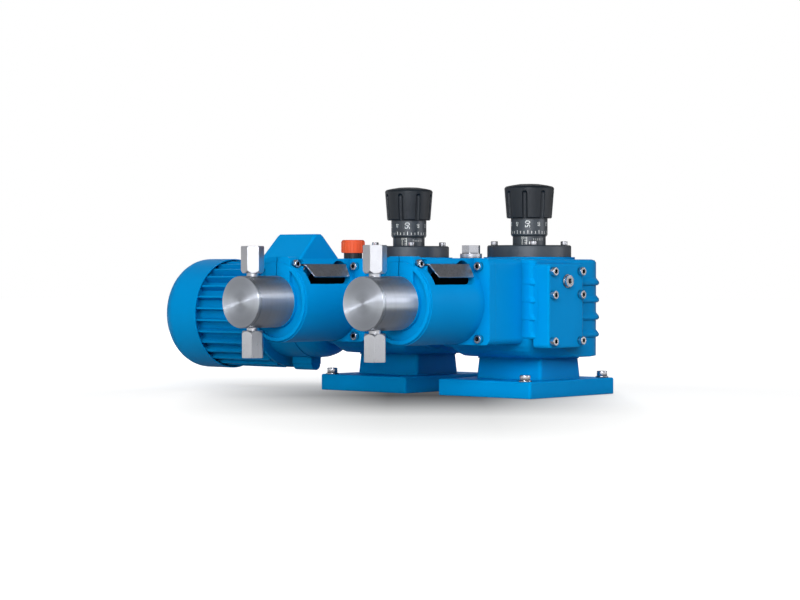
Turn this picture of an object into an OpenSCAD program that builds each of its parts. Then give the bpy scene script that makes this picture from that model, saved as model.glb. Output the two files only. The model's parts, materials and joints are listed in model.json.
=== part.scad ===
// Duplex plunger metering pump: two worm-driven pump units side by side,
// driven through one line of worm shafts by a flanged electric motor.
// Z is up, X runs along the worm and motor axis, and the plungers face -Y.
// The origin is the centre of the right foot's bolt pattern, on the floor.

/* [Arrangement] */
// Distance between the two pump units
unit_pitch = 196; // [190:1:220]
// Height of the plunger axes above the floor
plunger_z = 114.5; // [114:0.5:116]
// Height of the worm and motor axis above the floor
worm_z = 94; // [92:0.5:94]
// Distance of the eccentric shafts behind the foot's centre
shaft_y = 5; // [0:1:8]

/* [Foot] */
// Width of the foot plate
foot_w = 143; // [138:1:160]
// Depth of the foot plate
foot_d = 168; // [160:1:180]
// Thickness of the foot plate
foot_t = 20; // [16:0.5:24]
// Distance of the foot bolts from the plate's sides
foot_bolt_side = 13.5; // [10:0.5:16]
// Distance of the foot bolts from the plate's ends
foot_bolt_end = 7.5; // [7:0.5:12]
// Diameter of the foot bolt holes
foot_hole_d = 9; // [7:0.5:11]
// Width of the pedestal at its top
pedestal_w = 97; // [90:1:104]
// Distance from the shaft axis to the pedestal's front
pedestal_front = 40; // [36:1:44]
// Distance from the shaft axis to the pedestal's rear
pedestal_rear = 37; // [32:1:42]
// Height of the seat between pedestal and housing
seat_z = 44.5; // [40:0.5:45]

/* [Gear housing] */
// Width of the gear housing
case_w = 147; // [144:1:156]
// Distance from the shaft axis to the housing's front face
case_front = 86; // [82:0.5:90]
// Distance from the shaft axis to the housing's rear face
case_rear = 57; // [56:0.5:70]
// Height of the housing's top face
case_top = 165.5; // [165:0.5:170]
// Height of the housing's lower edge
case_bottom = 47; // [46:0.5:50]
// Radius of the housing's rear corners
rear_corner_r = 28; // [16:1:32]
// Radius of the curve under the housing's front
belly_r = 30; // [20:1:34]
// How far the cooling ribs stand out
rib_out = 2.8; // [2:0.2:4]
// Height of one rib
rib_h = 9; // [6:0.5:12]
// Distance between the ribs
rib_pitch = 21; // [18:0.5:22]
// Height of the lowest rib's underside
rib_z = 71; // [66:0.5:74]
// Width of the neck and the lantern flange
neck_w = 114; // [110:1:120]
// Height of the neck and the lantern flange
neck_h = 102; // [100:1:104]
// Distance from the shaft axis to the neck's front face
neck_front = 135; // [130:1:140]
// Diameter of the round pad on the housing's top
top_pad_d = 112; // [108:1:112]
// Thickness of the machined pads on the housing's sides
side_pad_t = 4.5; // [3:0.5:6]

/* [Lantern] */
// Thickness of the lantern's rear flange
flange_t = 12; // [10:0.5:14]
// Outer diameter of the lantern's barrel
lantern_d = 99; // [97:1:100]
// Wall of the lantern's barrel
lantern_wall = 7.5; // [6:0.5:9]
// Length of the lantern in front of its flange
lantern_l = 96; // [94:1:104]
// Thickness of the lantern's front wall
lantern_front_t = 13; // [12:0.5:14]
// Width of the bridge over the windows
bridge_w = 66; // [60:1:70]
// Height of a window in the lantern's side
window_h = 24; // [20:0.5:26]
// Length of a window in the lantern's side
window_l = 76; // [70:1:76]
// Distance of the flange screws from the plunger axis, both ways
flange_screw_offset = 42.5; // [42:0.5:44]
// Thickness of the window guard's sheet
guard_t = 1.5; // [1:0.25:2]

/* [Pump head] */
// Diameter of the pump head
head_d = 62; // [58:1:66]
// Length of the pump head from the lantern to its cap
head_l = 55; // [54:1:60]
// Thickness of the head cap
cap_t = 4; // [3:0.5:6]
// Diameter of the plunger
plunger_d = 22; // [18:1:24]
// Distance from the head's front end to the valve axis
valve_back = 15.5; // [14:0.5:18]
// Width across flats of the valve bodies
valve_af = 24; // [22:1:27]
// Height of a valve's hexagon
valve_h = 32.4; // [31:0.2:36]
// Diameter of a valve's neck
valve_neck_d = 14; // [13:0.5:15]
// Radius of the threaded port in a valve's end
port_r = 5.72; // [5:0.02:6]
// Depth of the threaded port in a valve's end
port_l = 14; // [12:0.5:15]
// Diameter of the valve balls
ball_d = 9; // [8:0.5:10]

/* [Drive] */
// Tooth module of worm and worm wheel
gear_module = 1.75; // [1.75:0.05:1.8]
// Number of teeth on the worm wheel
wheel_teeth = 40; // [38:1:40]
// Number of threads on the worm
worm_starts = 2; // [1:1:2]
// Pitch radius of the worm
worm_pitch_r = 11; // [10:0.25:11]
// Thickness of the worm wheel
wheel_t = 16; // [12:0.5:18]
// Radius of the worm shaft
worm_shaft_r = 7.5; // [7:0.25:8]
// Radius of the eccentric shaft
ecc_shaft_r = 8.5; // [8:0.25:9]
// Stroke of the plunger
stroke = 15; // [8:1:15]
// Radius of the eccentric disc
ecc_r = 17; // [16.5:0.25:18]
// Wall of the ring that runs on the eccentric
ecc_ring_t = 9; // [7:0.5:9]
// Radius of the crosshead rod
crosshead_r = 7; // [6:0.25:7]
// Outer diameter of the return spring
spring_d = 56; // [50:1:60]
// Wire diameter of the return spring
spring_wire = 4; // [3:0.25:5]

/* [Stroke adjuster] */
// Diameter of the adjuster flange
adj_flange_d = 103; // [100:1:104]
// Thickness of the adjuster flange
adj_flange_t = 14.5; // [12:0.5:18]
// Diameter of the scale sleeve
sleeve_d = 40.6; // [38:0.2:42]
// Diameter of the scale thimble
thimble_d = 45; // [44:0.2:48]
// Height of the scale thimble
thimble_h = 22; // [18:0.5:24]
// Part of the sleeve that shows under the thimble
sleeve_show = 11; // [10.5:0.5:14]
// Diameter of the knob at its foot
knob_foot_d = 55.4; // [52:1:60]
// Diameter of the knob at its top
knob_top_d = 61; // [56:1:66]
// Height of the knob
knob_h = 42.5; // [36:0.5:46]
// Number of grip grooves round the knob
knob_grooves = 8; // [6:1:12]
// Radius of the spindle
spindle_r = 6; // [5.5:0.25:6.5]

/* [Motor] */
// Distance from the left unit's shaft axis to the motor's flange face
motor_gap = 117; // [110:1:130]
// Radius over the motor's cooling fins
motor_fin_r = 70; // [66:0.5:70]
// How far the fan cowl stands out over the fins
cowl_over = 3; // [2.5:0.5:6]
// Length of the fan cowl
cowl_l = 70; // [66:1:80]
// Radius of the motor's stator tube
motor_tube_r = 60; // [57:0.5:62]
// Length of the finned motor frame
motor_frame_l = 111; // [104:1:120]
// Number of cooling fins round the motor
motor_fins = 28; // [20:1:36]
// Length of the drive-end shield
shield_l = 51; // [47:1:56]
// Radius of the drive-end shield
shield_r = 56; // [54:0.5:58]
// Width of the terminal box along the motor
tbox_w = 72; // [64:1:80]
// Depth of the terminal box across the motor
tbox_d = 73; // [66:1:80]
// Height of the terminal box's lid
tbox_lid_h = 35; // [28:1:40]

/* [Side cover and screws] */
// Width of the side cover
cover_w = 68; // [66:1:72]
// Height of the side cover
cover_h = 100; // [96:1:102]
// Thickness of the side cover
cover_t = 16.4; // [12:0.2:20]
// Radius of an M6 cap screw's head
m6_head_r = 5; // [4.5:0.1:5.5]
// Height of an M6 cap screw's head
m6_head_h = 6; // [5:0.1:6.5]

/* [Hidden] */

$fn = 48;

// Clearances
seat_gap = 0.03;
run_gap = 0.05;
air_gap = 0.3;
thin = 0.01;
through = 1;

// Colours
blue = [0.0, 0.50, 0.78];
black = [0.12, 0.13, 0.14];
steel = [0.70, 0.71, 0.73];
bronze = [0.72, 0.52, 0.28];
orange = [0.88, 0.30, 0.10];
white = [0.92, 0.92, 0.90];

// Places worked out from the driving sizes
wheel_pitch_r = gear_module * wheel_teeth / 2;
wheel_tip_r = wheel_pitch_r + gear_module;
centre_distance = wheel_pitch_r + worm_pitch_r;
worm_y = -centre_distance;
worm_tip_r = worm_pitch_r + gear_module;
worm_root_r = worm_pitch_r - 1.2 * gear_module;
worm_lead = PI * gear_module * worm_starts;
worm_l = 46;
chamber_r = wheel_tip_r + 1.75;
chamber_z = 68;
case_edge = 4;
chin_tuck = 20;
waist_y = 0;
pedestal_d = pedestal_front + pedestal_rear;
front_corner_r = 8;
neck_corner_r = 8;
neck_rise = 1;
neck_back = case_front - 6;
pad_top = case_top + 2.8;
side_face = case_w / 2 + side_pad_t;
rib_count = 4;

bearing_r = 16;
bearing_t = 9;
bearing_end = case_w / 2 - 3.5;
lower_bearing_t = 10;
shaft_bottom = chamber_z - lower_bearing_t + air_gap;
shaft_top = 157;
upper_bearing_z = 147.5;
ecc = stroke / 2;
ecc_t = 16;
ring_r = ecc_r + ecc_ring_t;

crosshead_back = -(ring_r + ecc + 1);
bush_back = -(centre_distance + bearing_r + 5);
bush_front = bush_back - 16;
bush_r = crosshead_r + 4;
neck_chamber_r = 40;
collar_y = bush_front - 4;
collar_t = 4;
rod_coupling_y = -(neck_front + flange_t + 5);
rod_coupling_l = 26;
rod_coupling_r = 14;
front_rod_r = 10;
plunger_back = rod_coupling_y - rod_coupling_l + 12;

flange_front = -(neck_front + flange_t);
lantern_front = flange_front - lantern_l;
head_back = lantern_front - 1;
head_front = head_back - head_l;
cap_front = head_front - 1 - cap_t;
spigot_r = 24;
plunger_front = head_front + 22;
packing_ring_t = 4.2;
packing_pitch = 4.4;
packing_rings = 4;
stuffing_l = packing_rings * packing_pitch + 0.4;
stuffing_end = head_back - stuffing_l;
gland_back = lantern_front + lantern_front_t;
packing_r = plunger_d / 2 + 5;
gland_r = 20;
gland_l = 9;
valve_y = cap_front + valve_back + cap_t + 1;
valve_stand = 3.3;
valve_neck_in = 12;

window_top = plunger_z + lantern_d / 2 - 4.2;
ears_w = 40.5;
ears_x = 2.5;
ears_top = 2;
window_y = flange_front - 7 - window_l / 2;
bridge_top = plunger_z + neck_rise + neck_h / 2;

adj_top = pad_top + adj_flange_t;
adj_screw_r = 43;
thimble_z = adj_top + sleeve_show;
knob_z = thimble_z + thimble_h;
groove_r = 3.4;
spigot_neck_r = ecc_shaft_r - 3.6;
spindle_tip = 152;

m5_head_r = 4.25;
m5_head_h = 5;
m6_shank_r = 3;
m5_shank_r = 2.5;
screw_bite = 8;
foot_bolt_x = foot_w / 2 - foot_bolt_side;
foot_bolt_y = foot_d / 2 - foot_bolt_end;

cover_y = -(case_front - cover_w / 2 - 3);
cover_z = 110;
cover_outer = side_face + cover_t;
cover_screw_y = cover_w / 2 - 7;
cover_screw_z = [cover_z + 41, cover_z + 13.4, cover_z - 41.5];
level_plug_y = cover_y + 1;
level_plug_z = cover_z + 29.6;
filler_y = -112;
vent_y = -106;
vent_r = 14.3;
vent_h = 15;
plug_hex_h = 10.5;

link_r = 30;
link_flange_r = 38;
link_flange_t = 6;
motor_face = -unit_pitch - motor_gap;
adapter_l = motor_gap - side_face;
adapter_big_r = 55;
adapter_small_r = 36;
motor_y = worm_y;
motor_shaft_r = 7;
frame_front = motor_face - shield_l;
frame_back = frame_front - motor_frame_l;
cowl_r = motor_fin_r + cowl_over;
cowl_front = frame_back + 8;
cowl_back = cowl_front - cowl_l;
cowl_wall = 1.5;
tbox_x = motor_face + 4 - tbox_w / 2;
tbox_z = worm_z + motor_fin_r;
rotor_r = motor_tube_r - 25;
rotor_l = motor_frame_l - 41;
fan_r = cowl_r - 17;
fan_x = cowl_back + 18;
coupling_r = 15;
coupling_hub_l = 13;
coupling_gap = 5;

// Frames of the two units and of the motor
module at_right() translate([0, shaft_y, 0]) children();
module at_left() translate([-unit_pitch, shaft_y, 0]) children();
module at_both() { at_right() children(); at_left() children(); }
module on_plunger_axis(y) translate([0, y, plunger_z]) rotate([90, 0, 0]) children();
module on_worm_axis(x) translate([x, worm_y, worm_z]) rotate([0, 90, 0]) children();
module on_motor_axis(x) translate([x, shaft_y + motor_y, worm_z]) rotate([0, 90, 0]) children();

// Plate with rounded corners, standing on its lower face
module rounded_plate(w, d, h, r) {
    translate([-w / 2, -d / 2 + r, 0]) cube([w, d - 2 * r, h]);
    translate([-w / 2 + r, -d / 2, 0]) cube([w - 2 * r, d, h]);
    for (x = [-1, 1], y = [-1, 1])
        translate([x * (w / 2 - r), y * (d / 2 - r), 0]) cylinder(r = r, h = h, $fn = 32);
}

// Tube with its axis along Z
module tube(r_out, r_in, h)
    difference() {
        cylinder(r = r_out, h = h);
        translate([0, 0, -through]) cylinder(r = r_in, h = h + 2 * through);
    }

// Cap screw standing on z = 0, with its shank below
module cap_screw(head_r, head_h, shank_r, shank_l) {
    difference() {
        union() {
            cylinder(r = head_r, h = head_h - 0.5);
            translate([0, 0, head_h - 0.5]) cylinder(r1 = head_r, r2 = head_r - 0.5, h = 0.5);
        }
        translate([0, 0, head_h * 0.45]) cylinder(r = shank_r * 0.96, h = head_h, $fn = 6);
    }
    translate([0, 0, -shank_l]) cylinder(r = shank_r - 0.1, h = shank_l + thin, $fn = 16);
}

// Middle of the pedestal
module on_pedestal() translate([0, (pedestal_rear - pedestal_front) / 2, 0]) children();

// Screw places
module at_foot_bolts()
    for (x = [-1, 1], y = [-1, 1]) translate([x * foot_bolt_x, y * foot_bolt_y - shaft_y, 0]) children();
module at_flange_screws()
    for (x = [-1, 1], z = [-1, 1])
        translate([x * flange_screw_offset, flange_front, plunger_z + z * flange_screw_offset])
            rotate([90, 0, 0]) children();
module at_adjuster_screws()
    for (i = [0:3]) rotate(45 + 90 * i) translate([adj_screw_r, 0, adj_top]) children();
module at_clamp_screw() translate([ears_x + ears_w / 2, lantern_front + 8, bridge_top - 6.5]) rotate([0, 90, 0]) children();
module at_cover_screws()
    for (y = [-1, 1], z = cover_screw_z)
        translate([cover_outer, cover_y + y * cover_screw_y, z]) rotate([0, 90, 0]) children();

// Foot: plate with bolt holes and a tapered pedestal
module foot() color(blue) difference() {
    union() {
        translate([0, -shaft_y, 0]) hull() {
            rounded_plate(foot_w - 1, foot_d - 1, thin, 3);
            translate([0, 0, 0.6]) rounded_plate(foot_w, foot_d, foot_t - 2.2, 3.2);
            translate([0, 0, foot_t - 0.5]) rounded_plate(foot_w - 1.2, foot_d - 1.2, thin, 2.8);
            translate([0, 0, foot_t - thin]) rounded_plate(foot_w - 2.4, foot_d - 2.4, thin, 2.4);
        }
        on_pedestal() hull() {
            translate([0, 0, foot_t - 1]) rounded_plate(pedestal_w + 4, pedestal_d + 5, thin, 5);
            translate([0, 0, foot_t + 3]) rounded_plate(pedestal_w + 2, pedestal_d + 2, thin, 4);
            translate([0, 0, seat_z - thin]) rounded_plate(pedestal_w, pedestal_d, thin, 4);
        }
    }
    at_foot_bolts() translate([0, 0, -through]) cylinder(d = foot_hole_d, h = foot_t + 2 * through, $fn = 32);
}

// Four corner posts of one level of the housing; a hull joins the levels
module case_level(z, front, out, tuck = 0) for (s = [-1, 1]) {
    translate([s * (case_w / 2 + out - tuck - front_corner_r), -front - out + front_corner_r, z])
        cylinder(r = front_corner_r, h = thin, $fn = 32);
    translate([s * (case_w / 2 + out - rear_corner_r), case_rear + out - rear_corner_r, z])
        cylinder(r = rear_corner_r, h = thin, $fn = 40);
}

// Posts that keep the case's full width behind its tucked front
module case_waist(z, out) for (s = [-1, 1])
    translate([s * (case_w / 2 + out - front_corner_r), waist_y, z]) cylinder(r = front_corner_r, h = thin, $fn = 32);

// Rounded rib round the case, hardly proud of its front face
module case_rib(z) hull() {
    case_level(z, case_front - rib_out + 0.2, rib_out * 0.55);
    case_level(z + rib_h * 0.22, case_front - rib_out + 0.4, rib_out);
    case_level(z + rib_h * 0.5, case_front - rib_out + 0.4, rib_out * 0.9);
    case_level(z + rib_h, case_front, 0);
}

// Gear housing: ribbed case, neck, pads, and the bores of the drive
module gear_housing(covered) color(blue) difference() {
    union() {
        hull() {
            for (a = [0:15:90])
                case_level(case_bottom + belly_r * (1 - cos(a)), case_front - belly_r * (1 - sin(a)),
                           a == 0 ? -case_edge : 0, chin_tuck * (a == 0 ? 0.8 : cos(a)));
            case_waist(case_bottom, -case_edge);
            case_waist(case_bottom + belly_r * (1 - cos(15)), 0);
            case_level(case_top - case_edge, case_front, 0);
            case_level(case_top - case_edge * 0.3, case_front, -case_edge * 0.3);
            case_level(case_top - thin, case_front, -case_edge);
        }
        for (i = [0:rib_count - 1]) case_rib(rib_z + i * rib_pitch);
        on_plunger_axis(-neck_back) translate([0, neck_rise, 0])
            rounded_plate(neck_w, neck_h, neck_front - neck_back, neck_corner_r);
        translate([0, 0, case_top - 6]) cylinder(d = top_pad_d, h = pad_top - case_top + 6, $fn = 96);
        on_pedestal() translate([0, 0, seat_z]) rounded_plate(pedestal_w + 2, pedestal_d + 2, 8, 4);
        on_worm_axis(-side_face) cylinder(r = link_flange_r, h = side_pad_t + 2);
        if (covered)
            translate([case_w / 2 - 2, cover_y, cover_z]) rotate([90, 0, 90])
                rounded_plate(cover_w, cover_h, side_pad_t + 2, 5);
        else
            on_worm_axis(case_w / 2 - 2) cylinder(r = link_flange_r, h = side_pad_t + 2);
    }
    translate([0, 0, chamber_z]) cylinder(r = chamber_r, h = pad_top - chamber_z + through, $fn = 72);
    translate([0, 0, chamber_z - lower_bearing_t]) cylinder(r = bearing_r + seat_gap, h = lower_bearing_t + through);
    on_worm_axis(-side_face - through) cylinder(r = bearing_r + seat_gap, h = 2 * (side_face + through));
    on_plunger_axis(-chamber_r + 4) cylinder(r = bush_r + seat_gap, h = -bush_front - chamber_r + 4 + thin);
    on_plunger_axis(bush_front) cylinder(r = neck_chamber_r, h = neck_front + bush_front + through, $fn = 64);
    translate([0, covered ? filler_y : vent_y, plunger_z]) cylinder(r = 6.5, h = pad_top - plunger_z, $fn = 32);
    at_flange_screws() translate([0, 0, -flange_t - screw_bite - 2]) cylinder(r = m6_shank_r, h = flange_t + screw_bite + 2, $fn = 16);
    at_adjuster_screws() translate([0, 0, -adj_flange_t - screw_bite - 2]) cylinder(r = m5_shank_r, h = adj_flange_t + screw_bite + 2, $fn = 16);
    if (covered)
        at_cover_screws() translate([0, 0, -cover_t - screw_bite - 2]) cylinder(r = m6_shank_r, h = cover_t + screw_bite + 2, $fn = 16);
}

// Opening through both sides of the lantern, with one large rear corner
module window_cut() translate([-neck_w, window_y, window_top - window_h]) {
    translate([0, -window_l / 2, 0]) cube([2 * neck_w, window_l - 14, window_h]);
    translate([0, -window_l / 2, 14]) cube([2 * neck_w, window_l, window_h - 14]);
    translate([0, window_l / 2 - 14, 14]) rotate([0, 90, 0]) cylinder(r = 14, h = 2 * neck_w);
}

// Lantern: flange, barrel with side windows, bridge and split clamp
module lantern() color(blue) difference() {
    union() {
        on_plunger_axis(-neck_front) translate([0, neck_rise, 0])
            rounded_plate(neck_w, neck_h, flange_t, neck_corner_r);
        on_plunger_axis(flange_front + 1) cylinder(d = lantern_d, h = lantern_l - 1, $fn = 96);
        on_plunger_axis(flange_front + lantern_front_t - lantern_l - 1.5)
            cylinder(d1 = lantern_d, d2 = lantern_d - 3, h = lantern_front_t - 0.5, $fn = 96);
        translate([-bridge_w / 2, lantern_front + 10, plunger_z + 20])
            cube([bridge_w, lantern_l - 9, bridge_top - plunger_z - 20]);
        translate([ears_x, lantern_front + 10, bridge_top - 11]) rotate([90, 0, 0]) clamp_ears();
    }
    on_plunger_axis(flange_front + thin) cylinder(r = lantern_d / 2 - lantern_wall, h = lantern_l - lantern_front_t, $fn = 96);
    on_plunger_axis(-neck_front + through) cylinder(r = rod_coupling_r + 1, h = flange_t + 2 * through);
    on_plunger_axis(gland_back + through) cylinder(r = spigot_r + seat_gap, h = lantern_front_t + 10, $fn = 72);
    on_plunger_axis(lantern_front + 3) difference() {
        tube(lantern_d / 2 - 6, head_d / 2 + 1, 10);
        translate([-ears_w / 2 + ears_x, 0, -through]) cube([ears_w, lantern_d, 12]);
    }
    translate([0, lantern_front - through, plunger_z]) cube([2, 26, bridge_top]);
    window_cut();
    at_flange_screws() translate([0, 0, -flange_t - through]) cylinder(r = m6_shank_r + 0.3, h = flange_t + 2 * through, $fn = 16);
    at_clamp_screw() translate([0, 0, -50]) cylinder(r = m6_shank_r, h = 60, $fn = 16);
    at_clamp_screw() cylinder(r = m6_head_r + 0.6, h = 14);
}

// Block with rounded upper corners that the clamp screw draws together
module clamp_ears() {
    translate([-ears_w / 2, -14, -6]) cube([ears_w, 19 + ears_top, 16]);
    translate([-ears_w / 2 + 6, -14, -6]) cube([ears_w - 12, 25 + ears_top, 16]);
    for (x = [-1, 1]) translate([x * (ears_w / 2 - 6), 5 + ears_top, -6]) cylinder(r = 6, h = 16, $fn = 32);
}

// Folded sheet that passes under the bridge and slopes over both windows
module window_guard() color(steel) {
    flap = 18.5;
    lean = 53;
    len = window_l - 4;
    translate([-bridge_w / 2, window_y - len / 2, window_top - guard_t - 0.05]) cube([bridge_w, len, guard_t]);
    for (s = [0, 1]) mirror([s, 0, 0]) translate([bridge_w / 2, window_y, window_top - guard_t / 2 - 0.05]) {
        rotate([90, 0, 0]) translate([0, 0, -len / 2]) cylinder(d = guard_t, h = len, $fn = 24);
        rotate([0, lean, 0]) translate([0, 0, -guard_t / 2]) linear_extrude(height = guard_t) polygon([
            [0, -len / 2], [flap - 1.2, -len / 2 + 5.5], [flap, -len / 2 + 7], [flap, len / 2 - 6],
            [flap - 0.8, len / 2 - 4.8], [flap - 2.5, len / 2 - 4], [0, len / 2]]);
    }
}

// Adjuster flange: black disc with a spigot that carries the upper bearing
module adjuster_flange() color(black) difference() {
    union() {
        translate([0, 0, pad_top]) cylinder(d = adj_flange_d, h = adj_flange_t - 1.5, $fn = 96);
        translate([0, 0, adj_top - 1.5]) cylinder(d1 = adj_flange_d, d2 = adj_flange_d - 3, h = 1.5, $fn = 96);
        translate([0, 0, pad_top - 8]) cylinder(r = chamber_r - seat_gap, h = 8 + thin, $fn = 72);
        translate([0, 0, upper_bearing_z]) cylinder(r = bearing_r + 5, h = pad_top - upper_bearing_z);
    }
    translate([0, 0, upper_bearing_z - through]) cylinder(r = bearing_r + seat_gap, h = bearing_t + through);
    translate([0, 0, upper_bearing_z]) cylinder(r = ecc_shaft_r + 2, h = 30);
    translate([0, 0, pad_top + 2]) cylinder(r = 17 + seat_gap, h = adj_flange_t);
    at_adjuster_screws() translate([0, 0, -adj_flange_t - through]) cylinder(r = m5_shank_r + 0.3, h = adj_flange_t + 2 * through, $fn = 16);
}

// Scale sleeve: fixed drum with the spindle's nut inside
module scale_sleeve() color(black) difference() {
    union() {
        translate([0, 0, adj_top]) cylinder(d = sleeve_d, h = sleeve_show + thimble_h - 13, $fn = 72);
        translate([0, 0, pad_top + 2]) cylinder(r = 17, h = adj_flange_t);
    }
    translate([0, 0, pad_top]) cylinder(r = spindle_r + run_gap, h = 60);
}

// Thimble: graduated skirt that turns round the sleeve
module thimble() color(black) difference() {
    union() {
        translate([0, 0, thimble_z + 2]) cylinder(d = thimble_d, h = thimble_h - 2, $fn = 72);
        translate([0, 0, thimble_z]) cylinder(d1 = thimble_d - 2, d2 = thimble_d, h = 2, $fn = 72);
    }
    translate([0, 0, thimble_z - through]) cylinder(d = sleeve_d + 0.8, h = thimble_h - 3 + through, $fn = 72);
    translate([0, 0, thimble_z]) cylinder(r = spindle_r + seat_gap, h = thimble_h + through);
}

// Knob: tapered grip with round-ended grooves and a domed top
module knob(turn) color(black) difference() {
    rim = knob_h - 6.2;
    translate([0, 0, knob_z]) rotate_extrude($fn = 96) polygon([
        [0, 0], [knob_foot_d / 2 - 1, 0], [knob_foot_d / 2, 1], [knob_top_d / 2, rim],
        [knob_top_d / 2 - 0.3, rim + 1], [knob_top_d / 2 - 1.1, rim + 2], [knob_top_d / 2 - 2.6, rim + 2.9],
        [knob_top_d * 0.36, rim + 4.2], [knob_top_d * 0.2, rim + 5.7], [0, knob_h]]);
    for (i = [0:knob_grooves - 1]) rotate(i * 360 / knob_grooves + turn)
        translate([knob_foot_d / 2 + 0.8, 0, knob_z - 1]) rotate([0, 4, 0]) {
            cylinder(r = groove_r, h = rim - 1.6 - groove_r, $fn = 24);
            translate([0, 0, rim - 1.6 - groove_r]) sphere(r = groove_r, $fn = 24);
        }
    translate([0, 0, knob_z - through]) cylinder(r = spindle_r + seat_gap, h = knob_h * 0.6 + through);
}

// Spindle: threaded stem from the knob down to the thrust rod
module spindle() color(steel) {
    translate([0, 0, pad_top + 3]) cylinder(r = spindle_r, h = knob_z + knob_h * 0.6 - pad_top - 3.2);
    translate([0, 0, spindle_tip]) cylinder(r = spigot_neck_r, h = pad_top + 3 - spindle_tip + thin);
}

// Thrust rod: slides in the hollow eccentric shaft and does not turn
module thrust_rod() color(steel) translate([0, 0, 108]) {
    cylinder(r = spigot_neck_r, h = spindle_tip - 108);
    translate([0, 0, -3]) cylinder(r1 = spigot_neck_r - 2, r2 = spigot_neck_r, h = 3);
}

// Eccentric shaft: hollow vertical shaft with its eccentric disc
module eccentric_shaft() color(steel) difference() {
    union() {
        translate([0, 0, shaft_bottom]) cylinder(r = ecc_shaft_r, h = shaft_top - shaft_bottom);
        translate([0, ecc, plunger_z - ecc_t / 2]) cylinder(r = ecc_r, h = ecc_t, $fn = 72);
        translate([0, 0, plunger_z + ecc_t / 2]) cylinder(r = ecc_shaft_r + 3, h = upper_bearing_z - plunger_z - ecc_t / 2 - air_gap);
    }
    translate([0, 0, 92]) cylinder(r = spigot_neck_r + run_gap, h = 80);
}

module eccentric_ring() color(steel) translate([0, ecc, plunger_z - ecc_t / 2 + 1])
    tube(ring_r, ecc_r + seat_gap, ecc_t - 2, $fn = 72);

// Worm wheel: helical teeth, slimmed for running clearance
module worm_wheel() color(bronze) {
    lean = wheel_t * tan(atan(worm_lead / (2 * PI * worm_pitch_r))) / wheel_pitch_r * 180 / PI;
    root_r = wheel_pitch_r - 1.2 * gear_module;
    half = 90 / wheel_teeth;
    difference() {
        union() {
            translate([0, 0, worm_z - wheel_t / 2]) linear_extrude(height = wheel_t, twist = -lean, slices = 3, segments = 1)
                rotate(lean / 2 + 270 + 180 / wheel_teeth * (wheel_teeth % 2)) union() {
                    circle(r = root_r, $fn = wheel_teeth * 2);
                    for (i = [0:wheel_teeth - 1]) rotate((i + 0.5) * 360 / wheel_teeth) polygon([
                        [root_r - 1, -root_r * sin(half * 0.86)], [root_r, -root_r * sin(half * 0.86)],
                        [wheel_tip_r, -wheel_tip_r * sin(half * 0.38)], [wheel_tip_r, wheel_tip_r * sin(half * 0.38)],
                        [root_r, root_r * sin(half * 0.86)], [root_r - 1, root_r * sin(half * 0.86)]]);
                }
            translate([0, 0, worm_z - wheel_t / 2 - 2]) cylinder(r = ecc_shaft_r + 6, h = wheel_t + 3);
        }
        translate([0, 0, worm_z - wheel_t]) cylinder(r = ecc_shaft_r + seat_gap, h = 2 * wheel_t);
    }
}

// Crosshead: tappet rod, spring collar and the socket for the plunger
module crosshead() color(steel) difference() {
    union() {
        on_plunger_axis(crosshead_back) cylinder(r = crosshead_r, h = crosshead_back - collar_y + thin);
        on_plunger_axis(collar_y) cylinder(r = spring_d / 2, h = collar_t);
        on_plunger_axis(collar_y) cylinder(r = front_rod_r, h = collar_y - rod_coupling_y);
        on_plunger_axis(rod_coupling_y) cylinder(r = rod_coupling_r, h = rod_coupling_l);
    }
    on_plunger_axis(plunger_back) cylinder(r = plunger_d / 2 + seat_gap, h = rod_coupling_l);
}

// Return spring: one wire swept along its coil by rings of points
module return_spring() color(steel) {
    turns = 7;
    steps = 16;
    sides = 8;
    first = collar_y - collar_t - spring_wire / 2 - air_gap;
    free_l = first + neck_front - spring_wire / 2 - air_gap;
    rise = [for (k = [0:turns * steps]) let (t = k / steps)
        t < 1 ? spring_wire * t
        : t > turns - 1 ? free_l - spring_wire * (turns - t)
        : spring_wire + (free_l - 2 * spring_wire) * (t - 1) / (turns - 2)];
    points = [for (k = [0:turns * steps], j = [0:sides - 1])
        let (a = k * 360 / steps, b = j * 360 / sides, r = spring_d / 2 - spring_wire / 2 + spring_wire / 2 * cos(b))
        [r * cos(a), r * sin(a), rise[k] + spring_wire / 2 * sin(b)]];
    side_faces = [for (k = [0:turns * steps - 1], j = [0:sides - 1])
        let (n = (j + 1) % sides, lo = k * sides, hi = lo + sides)
        [lo + j, lo + n, hi + n, hi + j]];
    ends = [[for (j = [sides - 1:-1:0]) j], [for (j = [0:sides - 1]) turns * steps * sides + j]];
    on_plunger_axis(first) polyhedron(points, concat(side_faces, ends));
}

module guide_bush() color(bronze) on_plunger_axis(bush_back) difference() {
    cylinder(r = bush_r, h = bush_back - bush_front);
    translate([0, 0, -through]) cylinder(r = crosshead_r + run_gap, h = 40);
}

module plunger() color(steel) on_plunger_axis(plunger_back) {
    cylinder(d = plunger_d, h = plunger_back - plunger_front - 1);
    translate([0, 0, plunger_back - plunger_front - 1]) cylinder(d1 = plunger_d, d2 = plunger_d - 2, h = 1);
}

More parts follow.
